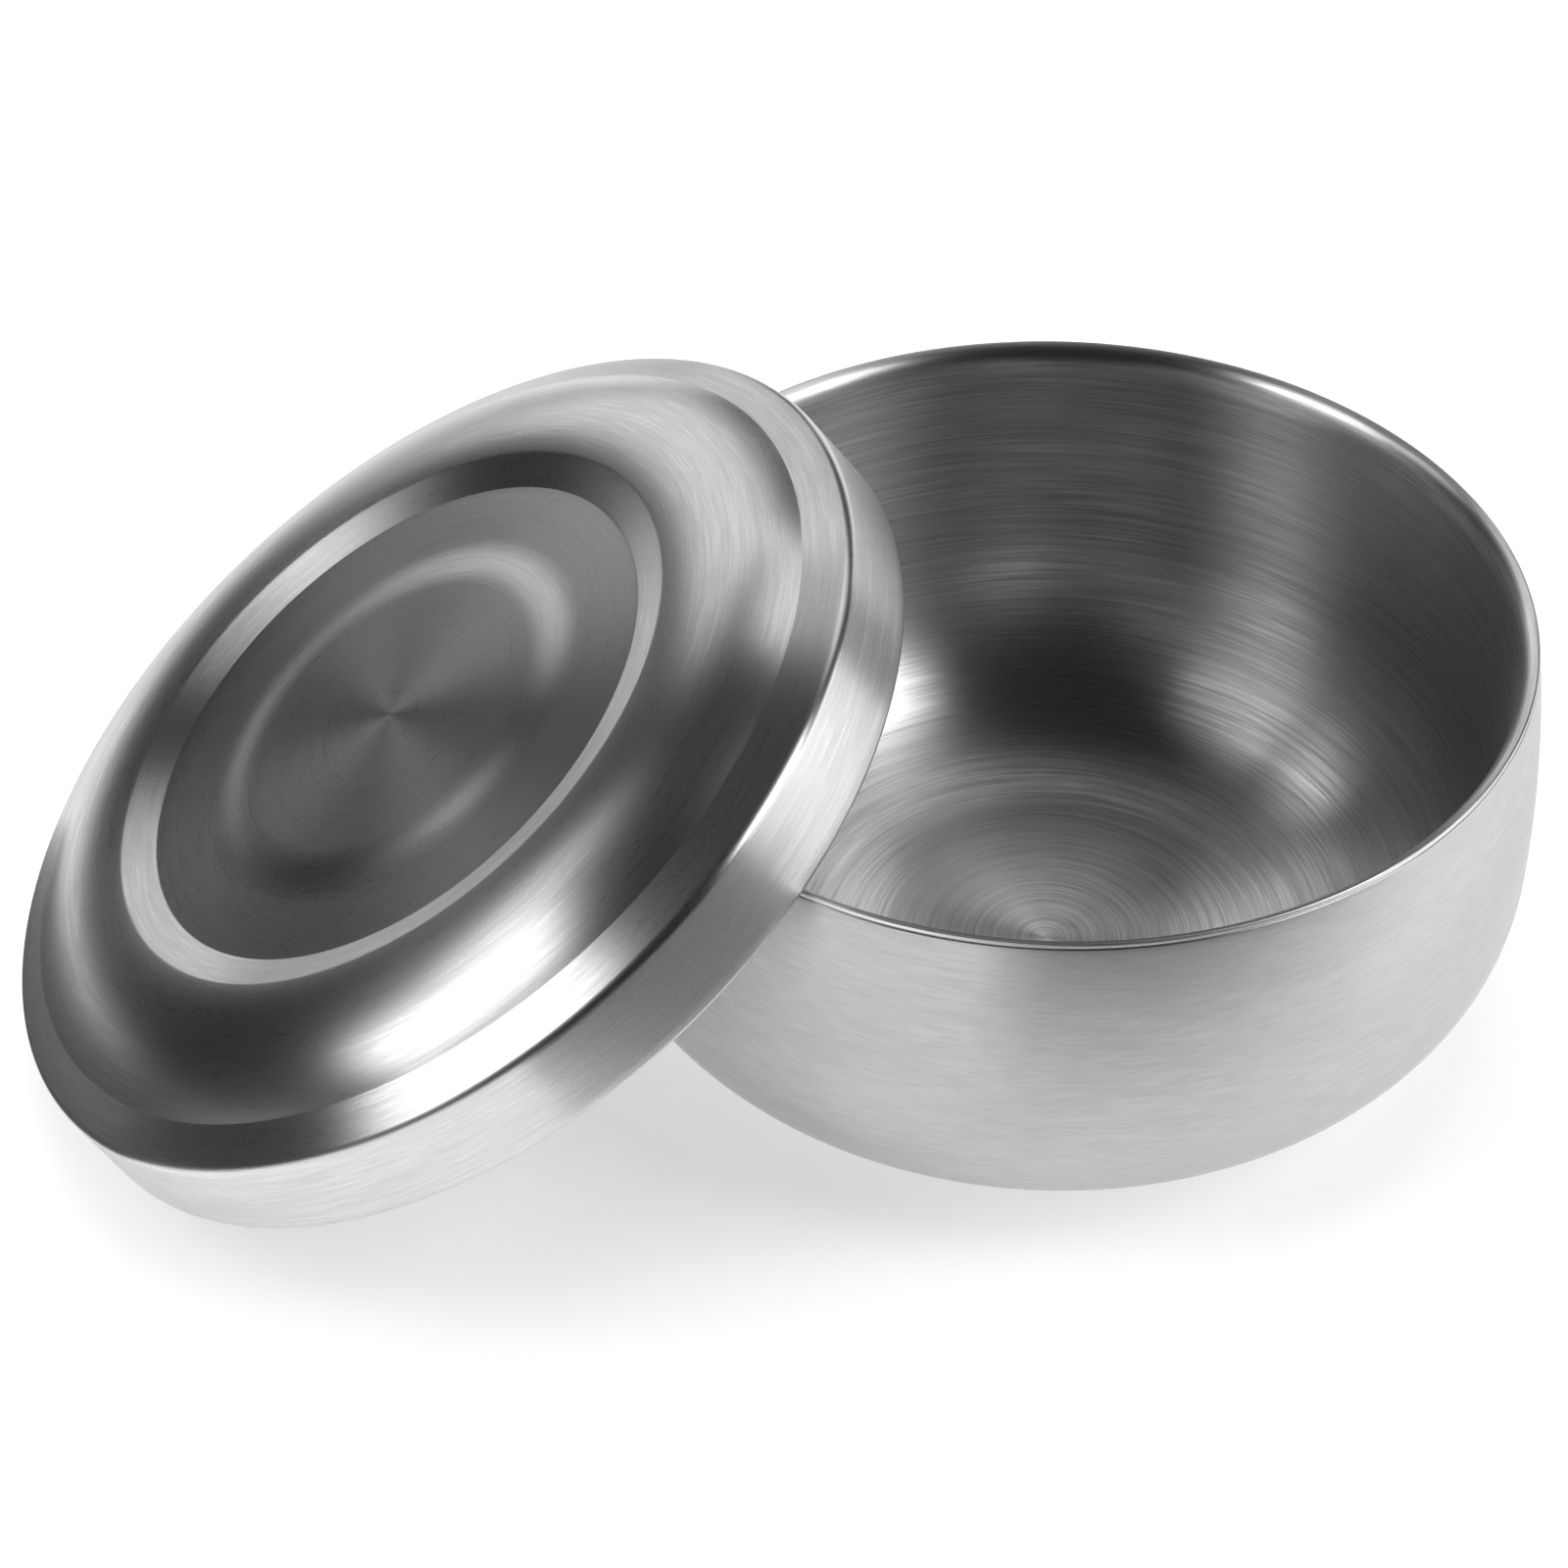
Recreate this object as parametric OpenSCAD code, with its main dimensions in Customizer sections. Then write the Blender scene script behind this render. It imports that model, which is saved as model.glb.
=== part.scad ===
// Double-walled steel shaving bowl with a pressed steel lid that leans against its rim.
// The origin is the centre of the bowl's flat base. +Z is up and the lid leans on the -X side.

/* [Bowl] */
// Outer diameter of the bowl at its rim
rim_d = 105; // [95:1:115]
// Height of the bowl from its base to the rim
bowl_h = 49; // [47:0.5:56]
// Thickness of the bowl's two walls
wall_t = 0.5; // [0.4:0.1:0.8]
// Width of the sloping lip between the inner wall and the rim edge
lip_w = 2; // [1.6:0.1:2.6]
// Height that the lip climbs over its width
lip_rise = 0.9; // [0.6:0.1:1.2]
// Radius of the outer wall's long upright curve
wall_curve_r = 150; // [120:5:200]
// Radius of the outer wall's turn towards the base
outer_corner_r = 18.5; // [16:0.5:20]
// Radius of the shallow sweep under the bowl
sweep_r = 55; // [50:1:60]
// Radius of the edge round the flat base
base_edge_r = 4; // [3:0.5:5]
// Height of the liner's flat floor above the base
floor_h = 1.8; // [1.6:0.2:4]

/* [Lid] */
// Outer diameter of the lid at its bottom edge
lid_d = 112; // [110:0.5:116]
// Thickness of the lid's two skins
skin_t = 0.5; // [0.4:0.1:0.6]
// Height of the lid's upright skirt up to its rounded shoulder
skirt_h = 9.5; // [8.5:0.5:11]
// How much the skirt leans in over its height
skirt_draft = 0.3; // [0.1:0.1:0.5]
// Radius of the shoulder between the skirt and the ledge
shoulder_r = 1.3; // [1:0.1:1.6]
// Slope of the ledge, in degrees
ledge_slope = 26; // [20:1:30]
// Radius of the crease where the ledge meets the dome
crease_r = 51; // [50:0.5:52]
// Radius of the dome's highest circle
crest_r = 38.3; // [37.5:0.1:39.5]
// Height of the dome's highest circle
crest_h = 17.1; // [16.5:0.1:18]
// Radius of the recess at its upper edge
recess_top_r = 36.2; // [35:0.1:37]
// Radius of the recess floor
recess_floor_r = 32.2; // [30:0.1:33]
// Height of the recess floor
recess_floor_h = 15.7; // [15:0.1:16]
// Radius at the middle of the centre plateau's edge
plateau_r = 21.4; // [18:0.1:24]
// Height of the centre plateau above the recess floor
plateau_rise = 0.5; // [0.3:0.1:0.8]
// Height of the lid's flat inner ceiling above its bottom edge
ceiling_h = 9.8; // [9:0.1:10]

/* [Lean] */
// Tilt of the lid where it leans on the bowl, in degrees
lean = 32.5; // [30:0.5:35]
// Clearance between the rim and the lid's ceiling
rest_gap = 0.3; // [0.2:0.1:0.5]

/* [Hidden] */
$fn = 180;
arc_steps = 14;

// Slopes of a wall are angles from upright: 0 is a vertical wall, 90 a flat floor.
rim_r = rim_d / 2;
wall_end = 3;
corner_end = 59;
sweep_end = 76;
inner_wall_r = 150;
inner_wall_end = 9;

// Height of the outer wall's widest circle, set by the curves below it
belly_h = (wall_curve_r - outer_corner_r) * sin(wall_end)
        + (outer_corner_r - sweep_r) * sin(corner_end)
        + (sweep_r - base_edge_r) * sin(sweep_end)
        + base_edge_r;
wall_start = -asin((bowl_h - belly_h) / wall_curve_r);
belly_r = rim_r + wall_curve_r * (1 - cos(wall_start));

// The liner's lip lies on the outer wall's top edge at this height
seam_h = bowl_h - 0.7;
lip_inner_r = rim_r - lip_w;
lip_inner_h = bowl_h - lip_rise;

// One arc carries the liner's wall round to its flat floor
inner_wall_foot_h = lip_inner_h - inner_wall_r * sin(inner_wall_end);
inner_corner_r = (inner_wall_foot_h - floor_h) / (1 - sin(inner_wall_end));

hem_r = skin_t;
lid_r = lid_d / 2;
hem_lift = (lid_r - hem_r) * sin(lean) + hem_r * (1 - cos(lean));
reach = rim_r + ((bowl_h - hem_lift) * cos(lean) - ceiling_h + rest_gap) / sin(lean);

function unit(v) = v / norm(v);
function left(v) = [-v[1], v[0]];
function reversed(p) = [for (i = [len(p) - 1:-1:0]) p[i]];

// Points of an arc about c, from angle a0 to a1
function arc(c, r, a0, a1) =
    [for (i = [0:arc_steps]) let (a = a0 + (a1 - a0) * i / arc_steps) c + r * [cos(a), sin(a)]];

// Centre of an arc of radius r1 that carries on smoothly at slope s from an arc of radius r0 about c
function next_centre(c, r0, r1, s) = c + (r0 - r1) * [cos(s), -sin(s)];

// A line moved sideways by t, to the left of its direction, with mitred corners
function offset_line(p, t) =
    [for (i = [0:len(p) - 1])
        let (k = max(i, 1), j = min(i, len(p) - 2))
        let (n0 = left(unit(p[k] - p[k - 1])), n1 = left(unit(p[j + 1] - p[j])))
        let (m = unit(n0 + n1))
        p[i] + m * t / (m * n1)];

// Outer face of the bowl, from the seam down to the centre of the base
function outer_face(from_h) =
    let (c0 = [belly_r - wall_curve_r, belly_h])
    let (c1 = next_centre(c0, wall_curve_r, outer_corner_r, wall_end))
    let (c2 = next_centre(c1, outer_corner_r, sweep_r, corner_end))
    let (c3 = next_centre(c2, sweep_r, base_edge_r, sweep_end))
    concat(
        arc(c0, wall_curve_r, asin((from_h - belly_h) / wall_curve_r), -wall_end),
        arc(c1, outer_corner_r, -wall_end - 4, -corner_end),
        arc(c2, sweep_r, -corner_end - 1, -sweep_end),
        arc(c3, base_edge_r, -sweep_end - 1, -90),
        [[0, 0]]);

// Inner face of the liner, from the lip's inner edge down to the centre of the floor
function inner_face() =
    let (c0 = [lip_inner_r - inner_wall_r, lip_inner_h])
    let (c1 = next_centre(c0, inner_wall_r, inner_corner_r, inner_wall_end))
    concat(
        arc(c0, inner_wall_r, -0.3, -inner_wall_end),
        arc(c1, inner_corner_r, -inner_wall_end - 4, -90),
        [[0, floor_h]]);

// Lid skirt's outer face at height h
function skirt_face(h) = lid_r - skirt_draft * h / skirt_h;

// Outer face of the lid, from the top of its hem to the centre of the plateau
function lid_face() =
    let (shoulder_c = [lid_r - skirt_draft - shoulder_r, skirt_h])
    let (ledge_start = shoulder_c + shoulder_r * [sin(ledge_slope), cos(ledge_slope)])
    let (crease_h = ledge_start[1] + (ledge_start[0] - crease_r) * tan(ledge_slope))
    let (rise = crest_h - crease_h, run = crease_r - crest_r)
    let (dome_r = (run * run + rise * rise) / (2 * rise))
    let (dome_c = [crest_r, crest_h - dome_r])
    concat(
        [[lid_r, hem_r]],
        arc(shoulder_c, shoulder_r, 0, 90 - ledge_slope),
        arc(dome_c, dome_r, 90 - asin(run / dome_r), 90 + asin((crest_r - recess_top_r) / dome_r)),
        [[recess_floor_r, recess_floor_h],
         [plateau_r + 0.8, recess_floor_h],
         [plateau_r - 0.8, recess_floor_h + plateau_rise],
         [0, recess_floor_h + plateau_rise]]);

// Inner face of the lid's inner skin, from its edge on the hem to the centre of the ceiling
function ceiling_face() =
    let (corner = 1)
    concat(
        [[lid_r - 2 * skin_t, hem_r]],
        arc([skirt_face(ceiling_h) - 2 * skin_t - corner, ceiling_h - corner], corner, 0, 90),
        [[0, ceiling_h]]);

// A sheet of even thickness turned about the axis, to the left of the line's direction
module turned_sheet(line, t) {
    rotate_extrude()
        polygon(concat(line, reversed(offset_line(line, t))));
}

// Carries a lid part from its own axis to the leaning pose
module leaning() {
    translate([-reach, 0, hem_lift])
        rotate([0, -lean, 0])
            children();
}

module bowl_outer_shell() {
    face = outer_face(seam_h);
    color("silver")
        turned_sheet(face, -wall_t);
}

module bowl_inner_liner() {
    face = inner_face();
    back = offset_line(face, wall_t);
    seam_r = outer_face(seam_h)[0][0];
    lip = [[lip_inner_r + wall_t, lip_inner_h - 0.4],
           [seam_r - wall_t, seam_h],
           [seam_r, seam_h],
           [rim_r, bowl_h],
           [lip_inner_r, lip_inner_h]];
    color("lightgray")
        rotate_extrude()
            polygon(concat(face, reversed(back), lip));
}

module lid_outer_skin() {
    face = lid_face();
    hem = arc([lid_r - hem_r, hem_r], hem_r, 180, 355);
    color("silver")
        leaning()
            rotate_extrude()
                polygon(concat(hem, face, reversed(offset_line(face, skin_t))));
}

module lid_inner_skin() {
    color("lightgray")
        leaning()
            turned_sheet(ceiling_face(), -skin_t);
}

bowl_outer_shell();
bowl_inner_liner();
lid_outer_skin();
lid_inner_skin();
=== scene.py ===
"""Brushed steel shaving bowl with its lid leaning on the rim: the looks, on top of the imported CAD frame."""
import math
import bpy
from mathutils import Matrix, Vector


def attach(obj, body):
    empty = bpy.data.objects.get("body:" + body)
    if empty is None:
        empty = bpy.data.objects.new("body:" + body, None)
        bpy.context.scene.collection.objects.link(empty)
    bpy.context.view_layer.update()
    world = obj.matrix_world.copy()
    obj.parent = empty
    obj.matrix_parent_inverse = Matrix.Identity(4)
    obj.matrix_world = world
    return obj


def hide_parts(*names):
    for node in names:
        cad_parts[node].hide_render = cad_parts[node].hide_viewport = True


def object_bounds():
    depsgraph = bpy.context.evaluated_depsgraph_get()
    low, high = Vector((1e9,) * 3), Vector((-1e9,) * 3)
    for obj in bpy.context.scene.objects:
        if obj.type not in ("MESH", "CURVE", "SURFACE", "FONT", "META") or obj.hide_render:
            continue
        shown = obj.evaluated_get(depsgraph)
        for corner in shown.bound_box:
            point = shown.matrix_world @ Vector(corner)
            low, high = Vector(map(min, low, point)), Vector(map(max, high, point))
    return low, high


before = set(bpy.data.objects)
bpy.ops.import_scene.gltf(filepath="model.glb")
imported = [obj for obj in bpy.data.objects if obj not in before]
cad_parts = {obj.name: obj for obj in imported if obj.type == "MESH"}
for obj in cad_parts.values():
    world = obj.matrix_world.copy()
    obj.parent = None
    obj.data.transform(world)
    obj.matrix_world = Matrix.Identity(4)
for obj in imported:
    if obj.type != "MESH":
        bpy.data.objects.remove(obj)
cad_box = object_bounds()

MM = 0.001
scene = bpy.context.scene

# ---------------------------------------------------------------- driving dimensions, in millimetres
RIM_R = 52.5
BOWL_H = 49.0
WALL_T = 0.5
LIP_W, LIP_RISE = 2.0, 0.9
WALL_CURVE_R, OUTER_CORNER_R, SWEEP_R, BASE_EDGE_R = 150.0, 18.5, 55.0, 4.0
WALL_END, CORNER_END, SWEEP_END = 3.0, 59.0, 76.0
INNER_WALL_R, INNER_WALL_END, FLOOR_H = 150.0, 9.0, 1.8
SEAM_DROP, SEAM_GAP, LIP_BACK_DROP = 0.7, 0.02, 0.4

LID_R = 56.0
SKIN_T = 0.5
SKIRT_H, SKIRT_DRAFT, SHOULDER_R = 9.5, 0.3, 1.3
LEDGE_SLOPE, CREASE_R = 26.0, 51.0
CREST_R, CREST_H, RECESS_TOP_R = 38.3, 17.1, 36.2
RECESS_FLOOR_R, RECESS_FLOOR_H = 32.2, 15.7
PLATEAU_R, PLATEAU_RISE, PLATEAU_RAMP = 21.4, 0.5, 2.0
CEILING_H, CEILING_CORNER_R = 9.8, 1.0
LEAN, REST_GAP = 32.5, 0.3

# How far each corner is rounded, as a radius
SHELL_EDGE_ROUND, SEAM_ROUND, RIM_ROUND = 0.3, 0.25, 0.22
CREASE_ROUND, RECESS_TOP_ROUND, RECESS_FLOOR_ROUND, PLATEAU_ROUND = 0.35, 1.8, 0.5, 22.0

# The lip starts to roll over this share of the way in from the rim, and ends this many points down the wall
ROLL_START, ROLL_END = 0.25, 3

# The lid's rounded hem runs between these angles, in degrees
HEM_START, HEM_END = 180, 352

# How finely the sheets are drawn: points round the axis, and the longest step along an outline
AROUND = 288
LONGEST_STEP = 1.2
ARC_STEPS, OUTER_CORNER_STEPS, SWEEP_STEPS, BASE_EDGE_STEPS, INNER_CORNER_STEPS = 24, 30, 10, 6, 40
SHOULDER_STEPS, DOME_STEPS, HEM_STEPS, CEILING_CORNER_STEPS = 10, 30, 12, 10
BEND_STEPS, ROUND_STEPS = 12, 6


# ---------------------------------------------------------------- outlines, as (radius, height) pairs
def sin(a):
    return math.sin(math.radians(a))


def cos(a):
    return math.cos(math.radians(a))


def arc(c, r, a0, a1, steps=ARC_STEPS):
    """Points of an arc about c, from angle a0 to a1."""
    return [(c[0] + r * cos(a0 + (a1 - a0) * i / steps), c[1] + r * sin(a0 + (a1 - a0) * i / steps))
            for i in range(steps + 1)]


def next_centre(c, r0, r1, slope):
    """Centre of an arc of radius r1 that carries on smoothly from one of radius r0."""
    return (c[0] + (r0 - r1) * cos(slope), c[1] - (r0 - r1) * sin(slope))


def offset_line(line, t):
    """The line moved by t to the left of its direction, with mitred corners."""
    out = []
    for i, p in enumerate(line):
        k, j = max(i, 1), min(i, len(line) - 2)
        d0 = (Vector(line[k]) - Vector(line[k - 1])).normalized()
        d1 = (Vector(line[j + 1]) - Vector(line[j])).normalized()
        n0, n1 = Vector((-d0.y, d0.x)), Vector((-d1.y, d1.x))
        m = (n0 + n1).normalized()
        out.append(tuple(Vector(p) + m * t / m.dot(n1)))
    return out


def bend(start, corner, end, steps=BEND_STEPS):
    """A smooth curve from start to end that heads for the corner from both."""
    return [tuple(Vector(start) * (1 - t) ** 2 + Vector(corner) * 2 * t * (1 - t) + Vector(end) * t ** 2)
            for t in (i / steps for i in range(steps + 1))]


def soften(line, radii):
    """Rounds the corners named in radii (index: radius) with curves that are tangent to both sides.

    A curve takes up less than half of the shorter side next to it.
    """
    most = 0.45
    out = []
    for i, p in enumerate(line):
        if i not in radii:
            out.append(p)
            continue
        here, before, after = Vector(p), Vector(line[i - 1]), Vector(line[i + 1])
        a, b = (before - here).normalized(), (after - here).normalized()
        half = a.angle(b) / 2
        cut = min(radii[i] / math.tan(half), most * min((before - here).length, (after - here).length))
        out += bend(here + a * cut, here, here + b * cut, ROUND_STEPS)
    return out


def evened(line):
    """Splits long stretches so that no two neighbouring points are further apart than the longest step."""
    out = [line[0]]
    for p, q in zip(line, line[1:]):
        n = max(1, math.ceil(math.dist(p, q) / LONGEST_STEP))
        out += [(p[0] + (q[0] - p[0]) * s / n, p[1] + (q[1] - p[1]) * s / n) for s in range(1, n + 1)]
    return out


BELLY_H = ((WALL_CURVE_R - OUTER_CORNER_R) * sin(WALL_END) + (OUTER_CORNER_R - SWEEP_R) * sin(CORNER_END)
           + (SWEEP_R - BASE_EDGE_R) * sin(SWEEP_END) + BASE_EDGE_R)
BELLY_R = RIM_R + WALL_CURVE_R * (1 - math.sqrt(1 - ((BOWL_H - BELLY_H) / WALL_CURVE_R) ** 2))
SEAM_H = BOWL_H - SEAM_DROP
LIP_R = RIM_R - LIP_W
INNER_WALL_FOOT_H = BOWL_H - LIP_RISE - INNER_WALL_R * sin(INNER_WALL_END)
INNER_CORNER_R = (INNER_WALL_FOOT_H - FLOOR_H) / (1 - sin(INNER_WALL_END))


def wall_radius(h):
    """Radius of the outer wall's long upright curve at height h."""
    return BELLY_R - WALL_CURVE_R + math.sqrt(WALL_CURVE_R ** 2 - (h - BELLY_H) ** 2)


def outer_face():
    """Outer face of the bowl, from the seam down to the centre of the base."""
    c0 = (BELLY_R - WALL_CURVE_R, BELLY_H)
    c1 = next_centre(c0, WALL_CURVE_R, OUTER_CORNER_R, WALL_END)
    c2 = next_centre(c1, OUTER_CORNER_R, SWEEP_R, CORNER_END)
    c3 = next_centre(c2, SWEEP_R, BASE_EDGE_R, SWEEP_END)
    top = math.degrees(math.asin((SEAM_H - BELLY_H) / WALL_CURVE_R))
    return (arc(c0, WALL_CURVE_R, top, -WALL_END)
            + arc(c1, OUTER_CORNER_R, -WALL_END, -CORNER_END, OUTER_CORNER_STEPS)[1:]
            + arc(c2, SWEEP_R, -CORNER_END, -SWEEP_END, SWEEP_STEPS)[1:]
            + arc(c3, BASE_EDGE_R, -SWEEP_END, -90, BASE_EDGE_STEPS)[1:]
            + [(0.0, 0.0)])


def inner_face():
    """Inner face of the liner, from the lip's inner edge down to the centre of the floor."""
    c0 = (LIP_R - INNER_WALL_R, BOWL_H - LIP_RISE)
    c1 = next_centre(c0, INNER_WALL_R, INNER_CORNER_R, INNER_WALL_END)
    return (arc(c0, INNER_WALL_R, 0, -INNER_WALL_END)
            + arc(c1, INNER_CORNER_R, -INNER_WALL_END, -90, INNER_CORNER_STEPS)[1:]
            + [(0.0, FLOOR_H)])


def shell_outline():
    face = evened(outer_face())
    return soften(face + offset_line(face, -WALL_T)[::-1], {0: SHELL_EDGE_ROUND})


def liner_outline():
    face = inner_face()
    back = offset_line(face, WALL_T)[::-1]
    seam_r = wall_radius(SEAM_H)
    lip = [(LIP_R + WALL_T, BOWL_H - LIP_RISE - LIP_BACK_DROP),
           (seam_r - WALL_T, SEAM_H),
           (seam_r, SEAM_H + SEAM_GAP),
           (RIM_R, BOWL_H)]
    roll_from = (RIM_R - ROLL_START * LIP_W, BOWL_H - ROLL_START * LIP_RISE)
    roll = bend(roll_from, face[0], face[ROLL_END])
    ring = soften(lip + roll + face[ROLL_END + 1:], {2: SEAM_ROUND, 3: RIM_ROUND})
    return evened(ring) + evened(back[:-1])


def skirt_radius(h):
    """Radius of the lid's upright skirt at height h."""
    return LID_R - SKIRT_DRAFT * h / SKIRT_H


def lid_face():
    """Outer face of the lid, from the top of its hem to the centre of the plateau."""
    shoulder = (LID_R - SKIRT_DRAFT - SHOULDER_R, SKIRT_H)
    ledge = (shoulder[0] + SHOULDER_R * sin(LEDGE_SLOPE), shoulder[1] + SHOULDER_R * cos(LEDGE_SLOPE))
    crease_h = ledge[1] + (ledge[0] - CREASE_R) * math.tan(math.radians(LEDGE_SLOPE))
    rise, run = CREST_H - crease_h, CREASE_R - CREST_R
    dome_r = (run * run + rise * rise) / (2 * rise)
    dome = arc((CREST_R, CREST_H - dome_r), dome_r, 90 - math.degrees(math.asin(run / dome_r)),
               90 + math.degrees(math.asin((CREST_R - RECESS_TOP_R) / dome_r)), DOME_STEPS)
    low, high = RECESS_FLOOR_H, RECESS_FLOOR_H + PLATEAU_RISE
    recess = [(RECESS_FLOOR_R, low),
              (PLATEAU_R + PLATEAU_RAMP, low),
              (PLATEAU_R - PLATEAU_RAMP, high),
              (0.0, high)]
    skirt = [(LID_R, SKIN_T)] + arc(shoulder, SHOULDER_R, 0, 90 - LEDGE_SLOPE, SHOULDER_STEPS)
    crease = len(skirt)
    recess_top = crease + DOME_STEPS
    return soften(skirt + dome + recess, {
        crease: CREASE_ROUND,
        recess_top: RECESS_TOP_ROUND,
        recess_top + 1: RECESS_FLOOR_ROUND,
        recess_top + 2: PLATEAU_ROUND,
        recess_top + 3: PLATEAU_ROUND})


def lid_outline():
    face = evened(lid_face())
    hem = arc((LID_R - SKIN_T, SKIN_T), SKIN_T, HEM_START, HEM_END, HEM_STEPS)
    return hem + face + offset_line(face, SKIN_T)[::-1]


def ceiling_outline():
    corner = (skirt_radius(CEILING_H) - 2 * SKIN_T - CEILING_CORNER_R, CEILING_H - CEILING_CORNER_R)
    face = evened([(LID_R - 2 * SKIN_T, SKIN_T)]
                  + arc(corner, CEILING_CORNER_R, 0, 90, CEILING_CORNER_STEPS)
                  + [(0.0, CEILING_H)])
    return face + offset_line(face, -SKIN_T)[::-1]


# ---------------------------------------------------------------- turned sheets
ON_AXIS = 1e-6
SHARP_ANGLE = 50


def turned(name, outline, material, place=Matrix.Identity(4)):
    """A closed sheet turned about Z, then put in its place, with its faces looking out of the metal.

    The attribute "turned" holds each point's position before it was placed, and "along" its distance
    along the outline, both in millimetres.
    """
    along, total = [0.0], 0.0
    for p, q in zip(outline, outline[1:]):
        total += math.dist(p, q)
        along.append(total)
    verts, rows, marks = [], [], []
    for (r, h), s in zip(outline, along):
        if r < ON_AXIS:
            rows.append([len(verts)])
            verts.append(Vector((0.0, 0.0, h)))
            marks.append(s)
        else:
            rows.append(list(range(len(verts), len(verts) + AROUND)))
            for i in range(AROUND):
                a = math.tau * i / AROUND
                verts.append(Vector((r * math.cos(a), r * math.sin(a), h)))
                marks.append(s)
    faces = []
    count = len(rows)
    for k in range(count):
        low, high = rows[k], rows[(k + 1) % count]
        if len(low) == 1 and len(high) == 1:
            continue
        for i in range(AROUND):
            j = (i + 1) % AROUND
            if len(low) == 1:
                faces.append((low[0], high[j], high[i]))
            elif len(high) == 1:
                faces.append((low[i], low[j], high[0]))
            else:
                faces.append((low[i], low[j], high[j], high[i]))
    mesh = bpy.data.meshes.new(name)
    mesh.from_pydata([place @ (v * MM) for v in verts], [], faces)
    mesh.attributes.new("along", "FLOAT", "POINT").data.foreach_set("value", marks)
    unplaced = [c for v in verts for c in v]
    mesh.attributes.new("turned", "FLOAT_VECTOR", "POINT").data.foreach_set("vector", unplaced)
    mesh.materials.append(material)
    mesh.validate()
    clockwise = sum(p[0] * q[1] - q[0] * p[1] for p, q in zip(outline, outline[1:] + outline[:1])) < 0
    if clockwise:
        mesh.flip_normals()
    obj = bpy.data.objects.new(name, mesh)
    scene.collection.objects.link(obj)
    mesh.shade_smooth()
    mesh.set_sharp_from_angle(angle=math.radians(SHARP_ANGLE))
    return obj


# ---------------------------------------------------------------- brushed steel
# How much of the wear each pattern makes up, and the stretch of it that runs from a streak to clear metal
FINE_SHARE, BAND_SHARE, CLOUD_SHARE = 0.55, 0.45, 0.2
WEAR_LOW, WEAR_HIGH = 0.4, 0.6

# A scratch starts and is full at these noise values, roughens the steel, and is cut into it
SCRATCH_START, SCRATCH_FULL, SCRATCH_ROUGH, SCRATCH_CUT = 0.72, 0.84, 0.03, 0.06

# Height of a turning mark beside a fine streak's
BAND_HEIGHT = 2.0

# Roughness of the noise itself, and the turn that lays the shine across the streaks
GRAIN = 0.6
ACROSS = 0.25


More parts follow.
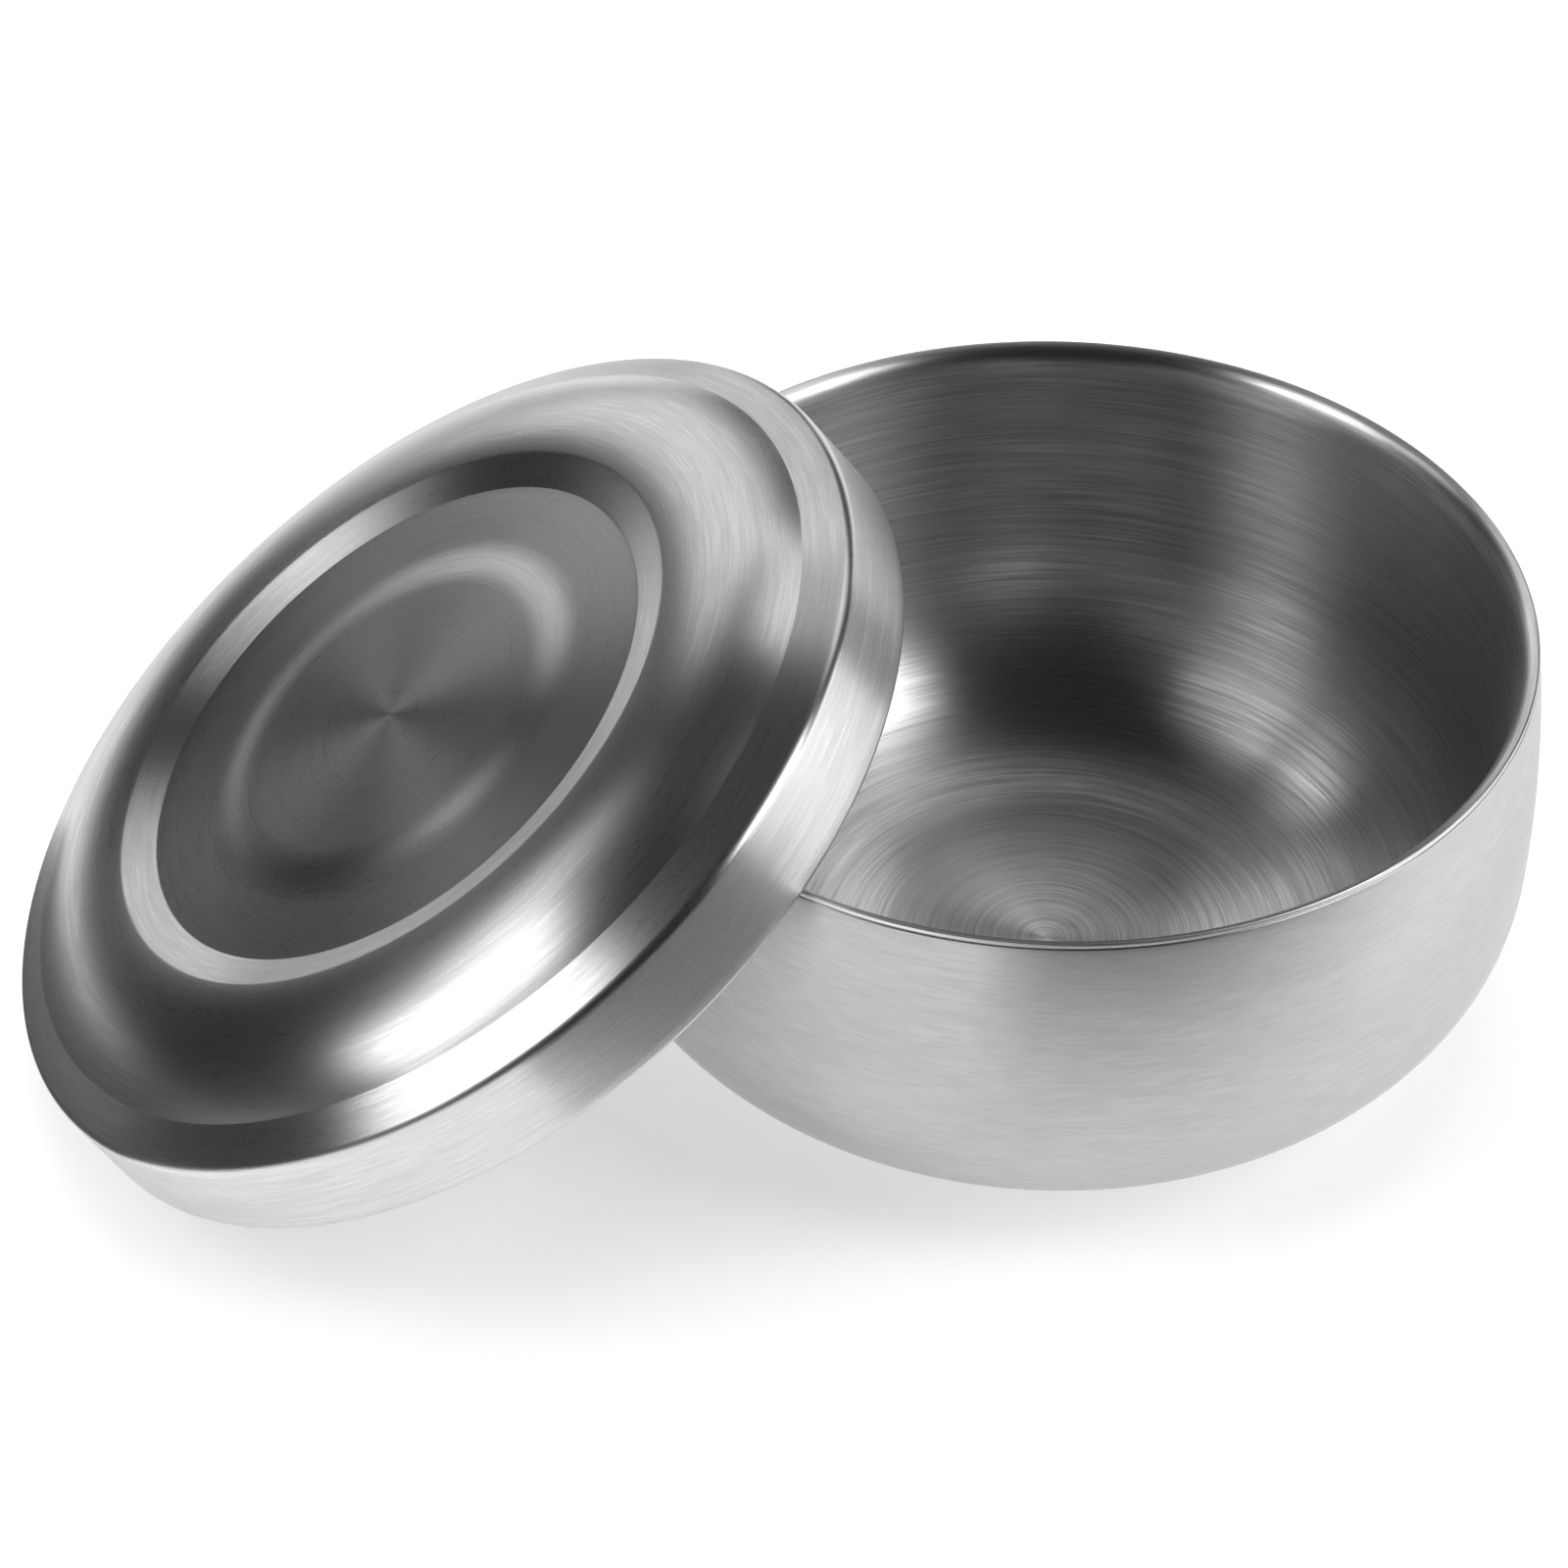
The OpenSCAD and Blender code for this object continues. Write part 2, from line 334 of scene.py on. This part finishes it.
def brushed_steel(name, light, dark, rough, anisotropic, seed, lean=0.0, length=8.0, depth=0.004,
                  banding=0.5):
    """Steel brushed round its own axis: streaks run round, and shine spreads across them.

    light and dark are the grey between streaks and in them, and rough the range of roughness. lean is
    the tilt of the axis in degrees. length is a fine streak's, and depth the height of the brushing, in
    millimetres. banding is how much the wider turning marks show.
    """
    mat = bpy.data.materials.new(name)
    mat.use_nodes = True
    nt = mat.node_tree
    nt.nodes.clear()

    def node(kind, inputs=(), **settings):
        n = nt.nodes.new(kind)
        for key, value in settings.items():
            setattr(n, key, value)
        for key, value in dict(inputs).items():
            if isinstance(value, bpy.types.NodeSocket):
                nt.links.new(value, n.inputs[key])
            else:
                n.inputs[key].default_value = value
        return n

    def math_node(kind, *values):
        return node("ShaderNodeMath", dict(enumerate(values)), operation=kind).outputs[0]

    def ranged(value, low, high, out_low=0.0, out_high=1.0, smooth="LINEAR"):
        return node("ShaderNodeMapRange", {0: value, 1: low, 2: high, 3: out_low, 4: out_high},
                    interpolation_type=smooth).outputs[0]

    place = node("ShaderNodeAttribute", attribute_name="turned")
    along = node("ShaderNodeAttribute", attribute_name="along")
    xyz = node("ShaderNodeSeparateXYZ", {0: place.outputs["Vector"]})

    def streaks(length, width, offset, detail):
        """Noise drawn out round the axis: length and width are a streak's, in millimetres.

        offset moves each pattern to its own part of the noise.
        """
        at = node("ShaderNodeCombineXYZ", {
            0: math_node("DIVIDE", xyz.outputs[0], length), 1: math_node("DIVIDE", xyz.outputs[1], length),
            2: math_node("DIVIDE", along.outputs["Fac"], width)})
        moved = node("ShaderNodeVectorMath", {0: at.outputs[0], 1: (seed + offset, 3.7 * offset, seed)},
                     operation="ADD")
        return node("ShaderNodeTexNoise", {"Vector": moved.outputs[0], "Scale": 1.0, "Detail": detail,
                                           "Roughness": GRAIN}).outputs[0]

    fine = streaks(length, width=0.26, offset=0.0, detail=3.0)
    band = streaks(3 * length, width=1.3, offset=11.0, detail=2.0)
    cloud = streaks(34.0, width=12.0, offset=23.0, detail=1.0)
    scratch = ranged(streaks(0.5 * length, width=0.2, offset=37.0, detail=1.0), SCRATCH_START, SCRATCH_FULL,
                     smooth="SMOOTHSTEP")

    # The last term keeps the middle of the wear at one half
    band_share = BAND_SHARE * banding
    clouded = math_node("MULTIPLY_ADD", cloud, CLOUD_SHARE, 0.5 * (1 - FINE_SHARE - CLOUD_SHARE - band_share))
    banded = math_node("MULTIPLY_ADD", band, band_share, clouded)
    wear = math_node("MULTIPLY_ADD", fine, FINE_SHARE, banded)
    colour = node("ShaderNodeMix", {0: ranged(wear, WEAR_LOW, WEAR_HIGH), 6: (dark, dark, dark, 1),
                                    7: (light, light, light, 1)}, data_type="RGBA").outputs[2]
    roughness = math_node("MULTIPLY_ADD", scratch, SCRATCH_ROUGH,
                          ranged(wear, WEAR_LOW, WEAR_HIGH, rough[1], rough[0]))
    height = math_node("SUBTRACT", math_node("MULTIPLY_ADD", band, BAND_HEIGHT * banding, fine),
                       math_node("MULTIPLY", scratch, SCRATCH_CUT))
    bump = node("ShaderNodeBump", {"Strength": 1.0, "Distance": depth * MM, "Height": height})

    # The tangent runs round the piece's own axis, leaned as the piece is
    backwards = math_node("MULTIPLY", xyz.outputs[1], -1.0)
    spun = node("ShaderNodeCombineXYZ", {0: backwards, 1: xyz.outputs[0], 2: 0.0})
    tilted = node("ShaderNodeVectorRotate", {"Vector": spun.outputs[0], "Angle": math.radians(-lean)},
                  rotation_type="Y_AXIS")
    tangent = node("ShaderNodeVectorTransform", {0: tilted.outputs[0]}, vector_type="VECTOR",
                   convert_from="OBJECT", convert_to="WORLD")
    bsdf = node("ShaderNodeBsdfPrincipled", {
        "Metallic": 1.0, "Base Color": colour, "Roughness": roughness, "Anisotropic": anisotropic,
        "Anisotropic Rotation": ACROSS, "Normal": bump.outputs[0], "Tangent": tangent.outputs[0]})
    node("ShaderNodeOutputMaterial", {0: bsdf.outputs[0]})
    return mat


# Where the lid leans: its hem on the floor, and its ceiling just clear of the bowl's rim
HEM_LIFT = (LID_R - SKIN_T) * sin(LEAN) + SKIN_T * (1 - cos(LEAN))
REACH = RIM_R + ((BOWL_H - HEM_LIFT) * cos(LEAN) - CEILING_H + REST_GAP) / sin(LEAN)
LEANING = Matrix.Translation((-REACH * MM, 0, HEM_LIFT * MM)) @ Matrix.Rotation(math.radians(-LEAN), 4, "Y")

steel_out = brushed_steel("steel_bowl_outside", light=0.61, dark=0.54, rough=(0.32, 0.36), anisotropic=0.8,
                          seed=1.0, length=4.0, depth=0.004, banding=0.2)
steel_in = brushed_steel("steel_bowl_inside", light=0.8, dark=0.54, rough=(0.28, 0.36), anisotropic=0.8,
                         seed=5.0, length=13.0, depth=0.011)
steel_lid = brushed_steel("steel_lid_outside", light=0.7, dark=0.6, rough=(0.27, 0.31), anisotropic=0.74,
                          seed=9.0, lean=LEAN, length=7.0, depth=0.0035, banding=0.4)
steel_under = brushed_steel("steel_lid_inside", light=0.64, dark=0.56, rough=(0.3, 0.36), anisotropic=0.8,
                            seed=13.0, lean=LEAN)

shell = turned("bowl_shell", shell_outline(), steel_out)
liner = turned("bowl_liner", liner_outline(), steel_in)
lid = turned("lid_top", lid_outline(), steel_lid, LEANING)
ceiling = turned("lid_ceiling", ceiling_outline(), steel_under, LEANING)

for piece, node_name, body, slot in ((shell, "bowl_outer_shell", "bowl", "bowl_outside"),
                                     (liner, "bowl_inner_liner", "bowl", "bowl_inside"),
                                     (lid, "lid_outer_skin", "lid", "lid_outside"),
                                     (ceiling, "lid_inner_skin", "lid", "lid_inside")):
    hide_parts(node_name)
    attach(piece, body)

# ---------------------------------------------------------------- camera
# The view's azimuth runs from +Y towards +X, and the angles are in degrees
CAMERA_AT = Vector((-78.4, -406.4, 380.8)) * MM
VIEW_AZIMUTH, VIEW_DOWN, VIEW_ROLL = 6.746, 40.712, -0.526
LENS, SENSOR_WIDTH = 110.94, 36
camera_data = bpy.data.cameras.new("camera")
camera_data.sensor_width = SENSOR_WIDTH
camera_data.lens = LENS
camera = bpy.data.objects.new("camera", camera_data)
scene.collection.objects.link(camera)
look = Vector((sin(VIEW_AZIMUTH) * cos(VIEW_DOWN), cos(VIEW_AZIMUTH) * cos(VIEW_DOWN), -sin(VIEW_DOWN)))
roll = Matrix.Rotation(math.radians(VIEW_ROLL), 3, "Z").to_quaternion()
camera.rotation_mode = "QUATERNION"
camera.rotation_quaternion = look.to_track_quat("-Z", "Y") @ roll
camera.location = CAMERA_AT
camera_data.clip_start, camera_data.clip_end = 0.01, 20
scene.camera = camera

# ---------------------------------------------------------------- floor and light
FLOOR_GREY, FLOOR_GLOW, FLOOR_REACH = 0.86, 0.4, 3000
CARD_H, LEFT_GREY, FRONT_GREY = 0.3, 0.14, 0.1
MATT_ROUGHNESS = 0.8


def stage_sheet(name, corners, height, grey, glow=0.0):
    """A matt sheet that lies flat. Its corners and height are in millimetres, and glow is its own light."""
    mesh = bpy.data.meshes.new(name)
    mesh.from_pydata([(x * MM, y * MM, height * MM) for x, y in corners], [], [(0, 1, 2, 3)])
    paint = bpy.data.materials.new(name)
    paint.use_nodes = True
    surface = paint.node_tree.nodes["Principled BSDF"]
    surface.inputs["Base Color"].default_value = (grey, grey, grey, 1)
    surface.inputs["Roughness"].default_value = MATT_ROUGHNESS
    surface.inputs["Emission Color"].default_value = (1, 1, 1, 1)
    surface.inputs["Emission Strength"].default_value = glow
    mesh.materials.append(paint)
    sheet = bpy.data.objects.new(name, mesh)
    scene.collection.objects.link(sheet)
    return sheet


# The floor glows a little, so that it comes out nearly white
floor_corners = [(-FLOOR_REACH, -FLOOR_REACH), (FLOOR_REACH, -FLOOR_REACH),
                 (FLOOR_REACH, FLOOR_REACH), (-FLOOR_REACH, FLOOR_REACH)]
stage_sheet("floor", floor_corners, 0, FLOOR_GREY, FLOOR_GLOW)

# Dark cards just above the floor, which only the steel mirrors: painted shade in the steel's reflections, one
# beside the lid and one in front
left_corners = [(-900, -300), (-120, -30), (-120, 45), (-900, 280)]
front_corners = [(-80, -700), (900, -700), (900, -120), (-50, -120)]
for card in (stage_sheet("card_left", left_corners, CARD_H, LEFT_GREY),
             stage_sheet("card_front", front_corners, CARD_H, FRONT_GREY)):
    card.visible_camera = False
    card.visible_diffuse = False
    card.visible_shadow = False

OBJECT_CENTRE = (cad_box[0] + cad_box[1]) / 2
LIGHT_DISTANCE = 1.4


def softbox(name, azimuth, elevation, width, height, brightness, distance=LIGHT_DISTANCE, floor_only=False):
    """A soft rectangular light that faces the object.

    azimuth runs from +X towards +Y. width and height are in degrees, as the object sees the light, and
    distance is in metres. A floor_only light isn't mirrored by the steel, so it brightens the floor alone.
    """
    data = bpy.data.lights.new(name, "AREA")
    data.shape = "RECTANGLE"
    data.size = 2 * distance * math.tan(math.radians(width / 2))
    data.size_y = 2 * distance * math.tan(math.radians(height / 2))
    data.energy = brightness * math.pi * data.size * data.size_y
    light = bpy.data.objects.new(name, data)
    towards = Vector((cos(elevation) * cos(azimuth), cos(elevation) * sin(azimuth), sin(elevation)))
    light.location = OBJECT_CENTRE + towards * distance
    light.rotation_mode = "QUATERNION"
    light.rotation_quaternion = (-towards).to_track_quat("-Z", "Y")
    light.visible_glossy = not floor_only
    scene.collection.objects.link(light)


softbox("key_right", 331, 41, 26, 32, 3.2)
softbox("low_right", 352, 7, 44, 14, 2.2)
softbox("fill_left", 192, 40, 28, 30, 2.3)
softbox("fill_left_behind", 155, 42, 20, 14, 1.2)
softbox("strip_back", 105, 26, 32, 44, 0.85)
softbox("low_back", 52, 7, 44, 14, 1.1)
softbox("high_back", 58, 57, 40, 24, 0.9)
softbox("floor_pool", 150, 80, 60, 60, 1.15, distance=0.5, floor_only=True)

# The room is dark to the steel, and the backdrop pale to the camera
ROOM_GREY, BACKDROP_GREY = 0.025, 0.85
world = bpy.data.worlds.new("studio")
world.use_nodes = True
backdrop = world.node_tree.nodes.new("ShaderNodeMix")
backdrop.data_type = "RGBA"
backdrop.inputs[6].default_value = (ROOM_GREY, ROOM_GREY, ROOM_GREY, 1)
backdrop.inputs[7].default_value = (BACKDROP_GREY, BACKDROP_GREY, BACKDROP_GREY, 1)
seen = world.node_tree.nodes.new("ShaderNodeLightPath")
world.node_tree.links.new(seen.outputs["Is Camera Ray"], backdrop.inputs[0])
world.node_tree.links.new(backdrop.outputs[2], world.node_tree.nodes["Background"].inputs[0])
scene.world = world
scene.view_settings.view_transform = "Standard"
scene.view_settings.look = "Medium High Contrast"
